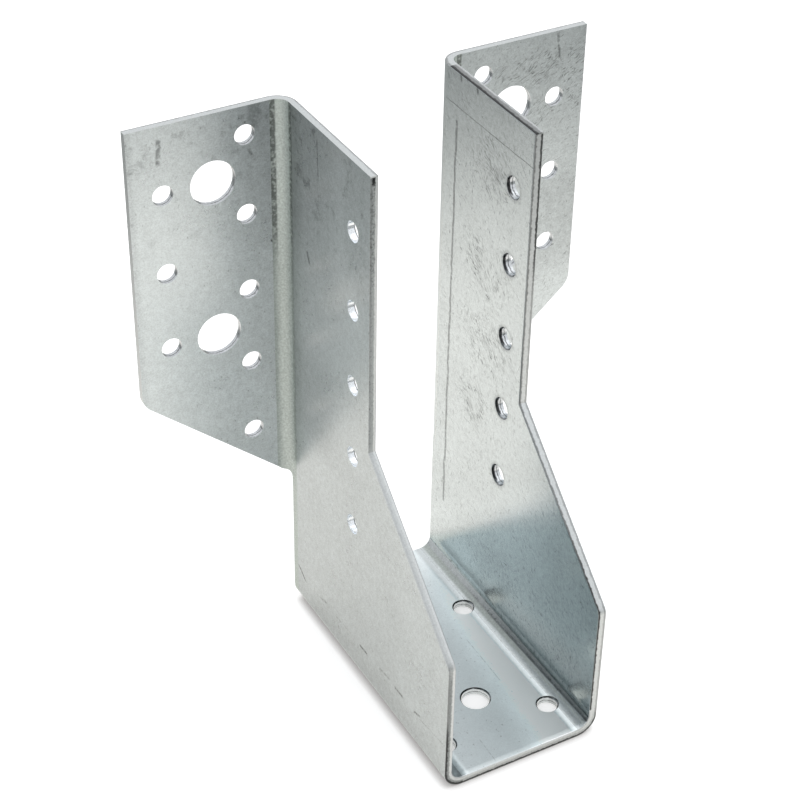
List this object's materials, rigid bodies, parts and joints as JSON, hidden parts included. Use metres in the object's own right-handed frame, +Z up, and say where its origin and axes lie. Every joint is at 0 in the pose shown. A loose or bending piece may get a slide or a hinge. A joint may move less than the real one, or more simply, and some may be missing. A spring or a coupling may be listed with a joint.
{
  "type": "joist hanger",
  "caption": "Folded galvanised sheet-steel bracket that carries a joist's end in a U-shaped stirrup and is nailed or bolted to a beam through its outward flanges.",
  "frame": {"origin": "middle of the bounding box's underside: on the plane of symmetry, at the seat's underside, halfway between the seat's front edge and the header's face", "axes": "+Z up, +Y from the joist towards the header, X across the hanger"},
  "size_m": [0.117, 0.08, 0.144],
  "materials": {
    "galvanised_sheet": "galvanised, semi-bright, with fine scratches and tool marks"
  },
  "bodies": {
    "root": {"joist_hanger": "galvanised_sheet"}
  },
  "joints": []
}
